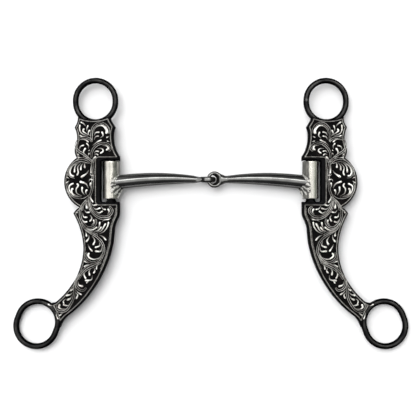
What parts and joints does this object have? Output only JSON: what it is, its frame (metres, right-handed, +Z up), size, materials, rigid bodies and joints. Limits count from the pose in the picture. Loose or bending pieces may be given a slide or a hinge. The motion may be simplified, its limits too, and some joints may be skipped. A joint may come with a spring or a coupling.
{
  "type": "curb bit",
  "caption": "Western loose-cheek curb bit for a horse: scroll-engraved dark steel cheeks hinged on posts, wire rings for bridle and reins, and a polished mouthpiece jointed in the middle.",
  "frame": {"origin": "middle of the foot of the bounding box, on the surface that the bit lies on", "axes": "+X across the mouth to the right, +Y along the cheeks towards the headstall rings, +Z up, out of the engraved faces"},
  "size_m": [0.2762, 0.189, 0.0113],
  "materials": {
    "blackened_steel": "blackened and antiqued steel, satin",
    "engraved_silver": "nickel silver, scroll engraved, with blackened ground",
    "ring_steel": "blackened round steel wire",
    "polished_sleeve": "bright polished, faintly warm",
    "mouth_steel": "polished steel",
    "weld_metal": "polished over an uneven weld"
  },
  "bodies": {
    "left_cheek": {"left_cheek_plate": "blackened_steel", "left_engraved_overlay": "engraved_silver", "left_headstall_ring": "ring_steel", "left_rein_ring": "ring_steel", "left_hinge_post": "blackened_steel", "left_post_welds": "blackened_steel"},
    "left_mouth": {"left_sleeve": "polished_sleeve", "left_cannon": "mouth_steel", "left_sleeve_weld": "weld_metal", "left_eye": "mouth_steel"},
    "right_cheek": {"right_cheek_plate": "blackened_steel", "right_engraved_overlay": "engraved_silver", "right_headstall_ring": "ring_steel", "right_rein_ring": "ring_steel", "right_hinge_post": "blackened_steel", "right_post_welds": "blackened_steel"},
    "right_mouth": {"right_sleeve": "polished_sleeve", "right_cannon": "mouth_steel", "right_sleeve_weld": "weld_metal", "right_eye": "mouth_steel"}
  },
  "joints": [
    {"name": "left_cheek_swing", "type": "hinge", "parent": "left_mouth", "child": "left_cheek", "pos_m": [-0.06915, 0.02412, 0.00565], "axis": [0, 1, 0], "range_deg": [-100, 100]},
    {"name": "centre_fold", "type": "hinge", "parent": "left_mouth", "child": "right_mouth", "pos_m": [-0.0026, 0.02412, 0.00565], "axis": [0, 1, 0], "range_deg": [-70, 70]},
    {"name": "right_cheek_swing", "type": "hinge", "parent": "right_mouth", "child": "right_cheek", "pos_m": [0.06915, 0.02412, 0.00565], "axis": [0, 1, 0], "range_deg": [-100, 100]}
  ]
}
